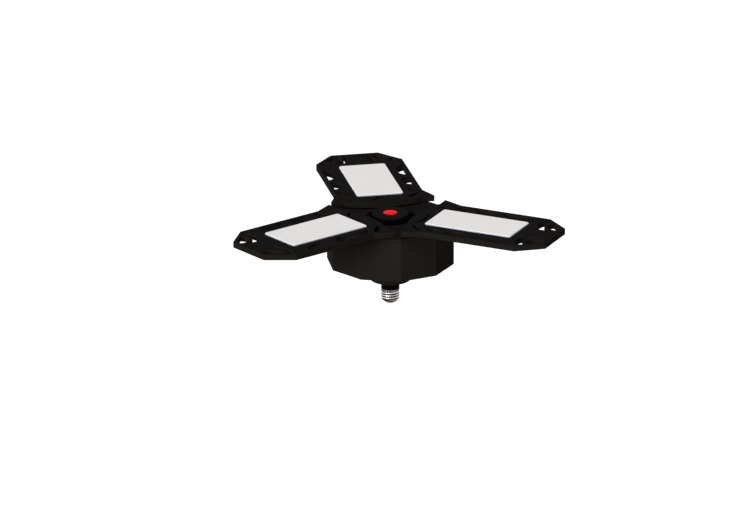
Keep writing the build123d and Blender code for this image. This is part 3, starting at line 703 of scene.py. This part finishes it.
screwTree = makeScrewTree()
screwNodes = {
    "top_plate_screws": "up",
    "back_cover_screws": "down",
    "neck_screws": "down",
    "driver_screws": "pan",
}
for leaf in leaves:
    screwNodes[f"bracket_screws_{leaf}"] = "up"
    screwNodes[f"back_plate_screws_{leaf}"] = "down"
for name, way in screwNodes.items():
    boxes = solidsOf(name)
    values = {**screwLook, **(panHead if way == "pan" else {})}
    crown = values["Crown Height"]
    values["Length"] = boxes[0][1].z - boxes[0][0].z - crown
    values["Flip"] = math.pi if way == "down" else 0.0
    heads = []
    for low, high in boxes:
        level = low.z if way == "down" else high.z - crown
        heads.append(((low.x + high.x) / 2, (low.y + high.y) / 2, level))
    grown(name, screwTree, values, heads)
print("screws ready")


shellLook = {
    "Around": 96,
    "Along": 150,
    "Length": 16.6 * mm,
    "Crest Radius": 13.1 * mm,
    "Root Radius": 12.35 * mm,
    "End Radius": 11.4 * mm,
    "Lip": 0.7 * mm,
    "Band": 2.4 * mm,
    "Taper": 1.5 * mm,
    "Run Out": 1.3 * mm,
    "Pitch": 3.63 * mm,
}
shellWall = 0.6 * mm
runOutBeforeTaper = 0.6  # as a share of the run-out


def makeShellTree():
    # a sheet rolled into a tube: plain band, round helical thread, drawn-in end with a lip
    tree, given = newTree("rolledShell", shellLook)
    sheet = addNode(tree, "GeometryNodeMeshGrid", {
        "Size X": 1.0,
        "Size Y": 1.0,
        "Vertices X": mathNode(tree, "ADD", given["Around"], 1.0),
        "Vertices Y": given["Along"],
    })
    spot = placeOfPoint(tree)
    angle = mathNode(tree, "MULTIPLY", spot["X"], math.tau)
    whole = mathNode(tree, "ADD", given["Length"], given["Lip"])
    run = mathNode(tree, "MULTIPLY", mathNode(tree, "ADD", spot["Y"], 0.5), whole)
    depth = mathNode(tree, "MINIMUM", run, given["Length"])
    inward = mathNode(tree, "SUBTRACT", run, depth)

    def shareOf(start, width):
        past = mathNode(tree, "SUBTRACT", depth, start)
        return mathNode(tree, "DIVIDE", past, width, clamp=True)

    def ramp(start, width):
        share = shareOf(start, width)
        smooth = mathNode(tree, "SUBTRACT", 3.0, mathNode(tree, "MULTIPLY", share, 2.0))
        return mathNode(tree, "MULTIPLY", mathNode(tree, "MULTIPLY", share, share), smooth)

    taperStart = mathNode(tree, "SUBTRACT", given["Length"], given["Taper"])
    fading = mathNode(tree, "MULTIPLY", given["Run Out"], runOutBeforeTaper)
    threadOn = ramp(given["Band"], given["Run Out"])
    threadOff = ramp(mathNode(tree, "SUBTRACT", taperStart, fading), given["Run Out"])
    pitches = mathNode(tree, "DIVIDE", depth, given["Pitch"])
    turns = mathNode(tree, "MULTIPLY", pitches, math.tau)
    wave = mathNode(tree, "COSINE", mathNode(tree, "ADD", turns, angle))
    ridge = mathNode(tree, "MULTIPLY_ADD", wave, 0.5, 0.5)
    thread = mathNode(tree, "MULTIPLY", ridge, mathNode(tree, "SUBTRACT", 1.0, threadOff))
    band = mathNode(tree, "SUBTRACT", 1.0, threadOn)
    share = mathNode(tree, "ADD", band, mathNode(tree, "MULTIPLY", threadOn, thread))
    crestRise = mathNode(tree, "SUBTRACT", given["Crest Radius"], given["Root Radius"])
    rise = mathNode(tree, "MULTIPLY", share, crestRise)
    wall = mathNode(tree, "ADD", given["Root Radius"], rise)
    taper = shareOf(taperStart, given["Taper"])
    bend = mathNode(tree, "MULTIPLY", taper, taper)
    narrowing = mathNode(tree, "SUBTRACT", given["Root Radius"], given["End Radius"])
    pull = mathNode(tree, "MULTIPLY", bend, narrowing)
    radius = mathNode(tree, "SUBTRACT", mathNode(tree, "SUBTRACT", wall, pull), inward)
    outX = mathNode(tree, "MULTIPLY", mathNode(tree, "COSINE", angle), radius)
    outY = mathNode(tree, "MULTIPLY", mathNode(tree, "SINE", angle), radius)
    below = mathNode(tree, "MULTIPLY", depth, -1.0)
    tube = moveTo(tree, sheet.outputs["Mesh"], combine(tree, outX, outY, below))
    seam = {0: tube, "Distance": 0.001 * mm}
    closed = addNode(tree, "GeometryNodeMergeByDistance", seam)
    outside = addNode(tree, "GeometryNodeFlipFaces", {0: closed.outputs[0]})
    return closeTree(tree, outside.outputs[0], given, True)


shell = grown("cap_shell", makeShellTree(), shellLook)
sheetWall = shell.modifiers.new("sheetWall", "SOLIDIFY")
sheetWall.thickness = shellWall
sheetWall.offset = -1.0
insulatorLook = {
    "sides": 72,
    "smoothDegrees": 40,
    "outlineMm": [
        (2.0, -15.4), (10.5, -15.4), (10.9, -16.5), (10.6, -17.3), (9.7, -18.3),
        (8.2, -19.4), (6.4, -20.3), (5.3, -20.7), (4.9, -20.8), (2.0, -20.8),
    ],
}


def setOrder(work):
    # spin stores what it makes in another order each run, so the order is set by place
    keys = (
        (work.verts, lambda vert: tuple(vert.co)),
        (work.edges, lambda edge: sorted(vert.index for vert in edge.verts)),
        (work.faces, lambda face: sorted(vert.index for vert in face.verts)),
    )
    for parts, key in keys:
        rank = {part: place for place, part in enumerate(sorted(parts, key=key))}
        parts.sort(key=rank.get)
        parts.index_update()


def makeInsulator():
    # the glass bead between shell and contact, bulging a little past the rim
    work = bmesh.new()
    outline = insulatorLook["outlineMm"]
    ring = [work.verts.new((radius * mm, 0, height * mm)) for radius, height in outline]
    edges = [work.edges.new((ring[i - 1], ring[i])) for i in range(len(ring))]
    bmesh.ops.spin(
        work,
        geom=ring + edges,
        axis=(0, 0, 1),
        cent=(0, 0, 0),
        angle=math.tau,
        steps=insulatorLook["sides"],
        use_duplicate=False,
    )
    bmesh.ops.remove_doubles(work, verts=work.verts, dist=0.001 * mm)
    bmesh.ops.recalc_face_normals(work, faces=work.faces)
    setOrder(work)
    mesh = meshFrom(work, "capInsulator")
    smoothed(mesh, "cap_insulator", insulatorLook["smoothDegrees"])
    finish(addObject("capInsulator", mesh), "cap_insulator")


makeInsulator()
print("cap shell rolled, glass bead set")


chokeLook = {
    "Turns": 30,
    "Steps": 480,
    "Ring Radius": 7.0 * mm,
    "Coil Radius": 2.8 * mm,
    "Wire Radius": 0.4 * mm,
    "Wire Sides": 6,
    "Core Sides": 12,
    "Core Steps": 48,
}


def circle(tree, steps, radius):
    inputs = {"Resolution": steps, "Radius": radius}
    return addNode(tree, "GeometryNodeCurvePrimitiveCircle", inputs).outputs[0]


def sweptCurve(tree, path, section):
    return addNode(tree, "GeometryNodeCurveToMesh", {0: path, 1: section}).outputs[0]


def makeChokeTree():
    # one wire wound round a ring core
    tree, given = newTree("woundRing", chokeLook)
    line = addNode(tree, "GeometryNodeMeshLine", {"Count": given["Steps"]})
    index = addNode(tree, "GeometryNodeInputIndex").outputs[0]
    share = mathNode(tree, "DIVIDE", index, given["Steps"])
    angle = mathNode(tree, "MULTIPLY", share, math.tau)
    coil = mathNode(tree, "MULTIPLY", angle, given["Turns"])
    out = mathNode(tree, "MULTIPLY", mathNode(tree, "COSINE", coil), given["Coil Radius"])
    radius = mathNode(tree, "ADD", given["Ring Radius"], out)
    outX = mathNode(tree, "MULTIPLY", mathNode(tree, "COSINE", angle), radius)
    outY = mathNode(tree, "MULTIPLY", mathNode(tree, "SINE", angle), radius)
    lift = mathNode(tree, "MULTIPLY", mathNode(tree, "SINE", coil), given["Coil Radius"])
    bent = moveTo(tree, line.outputs["Mesh"], combine(tree, outX, outY, lift))
    path = addNode(tree, "GeometryNodeMeshToCurve", {0: bent}).outputs[0]
    loop = addNode(tree, "GeometryNodeSetSplineCyclic", {0: path, "Cyclic": True}).outputs[0]
    inner = mathNode(tree, "SUBTRACT", given["Coil Radius"], given["Wire Radius"])
    wire = sweptCurve(tree, loop, circle(tree, given["Wire Sides"], given["Wire Radius"]))
    ring = circle(tree, given["Core Steps"], given["Ring Radius"])
    core = sweptCurve(tree, ring, circle(tree, given["Core Sides"], inner))
    both = addNode(tree, "GeometryNodeJoinGeometry", {0: [wire, core]}).outputs[0]
    spread = {"Points": given["Geometry"], "Instance": both}
    placed = addNode(tree, "GeometryNodeInstanceOnPoints", spread).outputs[0]
    return closeTree(tree, placed, given, True)


chokeLow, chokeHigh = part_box("choke")
grown("choke", makeChokeTree(), chokeLook, [(Vector(chokeLow) + Vector(chokeHigh)) / 2])


chipLook = {
    "Rim": 0.82,
    "Sink": 0.12 * mm,
    "Length": 3.5 * mm,
    "Width": 2.8 * mm,
    "Height": 0.7 * mm,
    "Heading": 0.0,
}


def makeChipTree():
    # a moulded cup with its phosphor sunk below the rim, set out on the board
    tree, given = newTree("lightChips", chipLook)
    size = combine(tree, given["Length"], given["Width"], given["Height"])
    block = addNode(tree, "GeometryNodeMeshCube", {"Size": size}).outputs["Mesh"]
    facing = separate(tree, addNode(tree, "GeometryNodeInputNormal").outputs[0])
    upward = {0: facing["Z"], 1: 0.5}
    top = addNode(tree, "FunctionNodeCompare", upward, operation="GREATER_THAN").outputs[0]

    def extruded(mesh, selection, distance):
        inputs = {"Mesh": mesh, "Selection": selection, "Offset Scale": distance}
        return addNode(tree, "GeometryNodeExtrudeMesh", inputs, mode="FACES").outputs

    rim = extruded(block, top, 0.0)
    narrower = {0: rim["Mesh"], "Selection": rim["Top"], "Scale": given["Rim"]}
    inset = addNode(tree, "GeometryNodeScaleElements", narrower, domain="FACE").outputs[0]
    cup = extruded(inset, rim["Top"], mathNode(tree, "MULTIPLY", given["Sink"], -1.0))
    placed = addNode(tree, "GeometryNodeInstanceOnPoints", {
        "Points": given["Geometry"],
        "Instance": cup["Mesh"],
        "Rotation": combine(tree, z=given["Heading"]),
    })
    return closeTree(tree, placed.outputs[0], given, False)


chipTree = makeChipTree()
for leaf in leaves:
    name = f"led_chips_{leaf}"
    low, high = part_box(f"diffuser_{leaf}")
    heading = math.atan2(low[1] + high[1], low[0] + high[0])
    middles = [(low + high) / 2 for low, high in solidsOf(name)]
    grown(name, chipTree, {**chipLook, "Heading": heading}, middles)
print("choke and chips ready")

for name, solid in nodes.items():
    if not solid.hide_render:  # the nodes that keep their CAD mesh
        solid.data.materials.clear()
        solid.data.materials.append(materialOf(name))

studio = {
    "floorDrop": 0.62,
    "floorSize": 30.0,
    "floorSteps": 8,
    "floorColour": (0.50, 0.50, 0.50),
    "floorRoughness": 0.9,
    "floorGlow": 0.66,
    "ambient": 0.12,
    "viewTurn": -9.1,
    "viewLift": 19.47,
    "axisPixel": (390.3, 209.5),
    "pixelMm": 1.40,
    "litHeight": 116.0,
    "lens": 400.0,
    "sensor": 36.0,
    "farEnd": 100.0,
    "frame": (750, 527),
}
lamps = {  # turn from the camera, lift, strength, softness in degrees
    "keyLight": (-37, 18, 2.85, 24),
    "topLight": (-4, 76, 2.0, 50),
    "lowLight": (180, -30, 1.6, 40),
}
lampDistance = 2.0
white = (1, 1, 1, 1)


def backgroundSeen(tree):
    paths = addNode(tree, "ShaderNodeLightPath").outputs
    seen = mathNode(tree, "MAXIMUM", paths["Is Camera Ray"], paths["Is Glossy Ray"])
    return mathNode(tree, "MAXIMUM", seen, paths["Is Transmission Ray"])


def mixSurface(tree, output, factor, first, second):
    inputs = {0: factor, 1: first.outputs[0], 2: second.outputs[0]}
    mix = addNode(tree, "ShaderNodeMixShader", inputs)
    tree.links.new(mix.outputs[0], tree.nodes[output].inputs["Surface"])


def makeWorld():
    world = bpy.data.worlds.new("studioAir")
    scene.world = world
    world.use_nodes = True
    tree = world.node_tree
    air = tree.nodes["Background"]
    air.inputs["Color"].default_value = white
    air.inputs["Strength"].default_value = studio["ambient"]
    shown = addNode(tree, "ShaderNodeBackground", {"Color": white, "Strength": 1.0})
    mixSurface(tree, "World Output", backgroundSeen(tree), air, shown)


def makeFloor():
    low = cadBox[0].z - studio["floorDrop"]
    steps = studio["floorSteps"]
    work = bmesh.new()
    bmesh.ops.create_grid(work, x_segments=steps, y_segments=steps, size=studio["floorSize"])
    bmesh.ops.translate(work, verts=work.verts, vec=(0, 0, low))
    floor = addObject("paleFloor", meshFrom(work, "paleFloor"))
    floor.visible_shadow = False  # the low light comes up through it
    material, tree, shader = newMaterial("paleFloor")
    settings = {
        "Base Color": (*studio["floorColour"], 1),
        "Roughness": studio["floorRoughness"],
        "Specular IOR Level": 0.0,
        "Emission Color": white,
    }
    for label, value in settings.items():
        shader.inputs[label].default_value = value
    glow = mathNode(tree, "MULTIPLY", backgroundSeen(tree), studio["floorGlow"])
    tree.links.new(glow, shader.inputs["Emission Strength"])
    clear = addNode(tree, "ShaderNodeBsdfTransparent")
    under = addNode(tree, "ShaderNodeNewGeometry").outputs["Backfacing"]
    mixSurface(tree, "Material Output", under, shader, clear)
    floor.data.materials.append(material)


def viewAxes(turn, lift):
    turn, lift = math.radians(turn), math.radians(lift)
    flat = math.cos(lift)
    back = Vector((math.sin(turn) * flat, -math.cos(turn) * flat, math.sin(lift)))
    right = Vector((math.cos(turn), math.sin(turn), 0))
    return back, right


def aim(item, location, back):
    item.location = location
    item.rotation_mode = "QUATERNION"
    item.rotation_quaternion = (-back).to_track_quat("-Z", "Y")


def makeLamp(name, turn, lift, strength, softness):
    data = bpy.data.lights.new(name, "SUN")
    data.energy = strength
    data.angle = math.radians(softness)
    back, _ = viewAxes(studio["viewTurn"] + turn, lift)
    aim(addObject(name, data), back * lampDistance, back)


def makeCamera():
    data = bpy.data.cameras.new("photoView")
    data.lens = studio["lens"]
    data.sensor_width = studio["sensor"]
    data.clip_end = studio["farEnd"]
    back, right = viewAxes(studio["viewTurn"], studio["viewLift"])
    width, height = studio["frame"]
    pixel = studio["pixelMm"] * mm
    axisX, axisY = studio["axisPixel"]
    aside = (axisX - width / 2) * pixel
    below = (height / 2 - axisY) * pixel / math.cos(math.radians(studio["viewLift"]))
    target = Vector((0, 0, studio["litHeight"] * mm - below)) - right * aside
    distance = width * pixel * data.lens / data.sensor_width
    camera = addObject("photoView", data)
    aim(camera, target + back * distance, back)
    scene.camera = camera


makeWorld()
makeFloor()
for name, setting in lamps.items():
    makeLamp(name, *setting)
makeCamera()
scene.view_settings.view_transform = "Standard"
print("floor, light and camera ready")
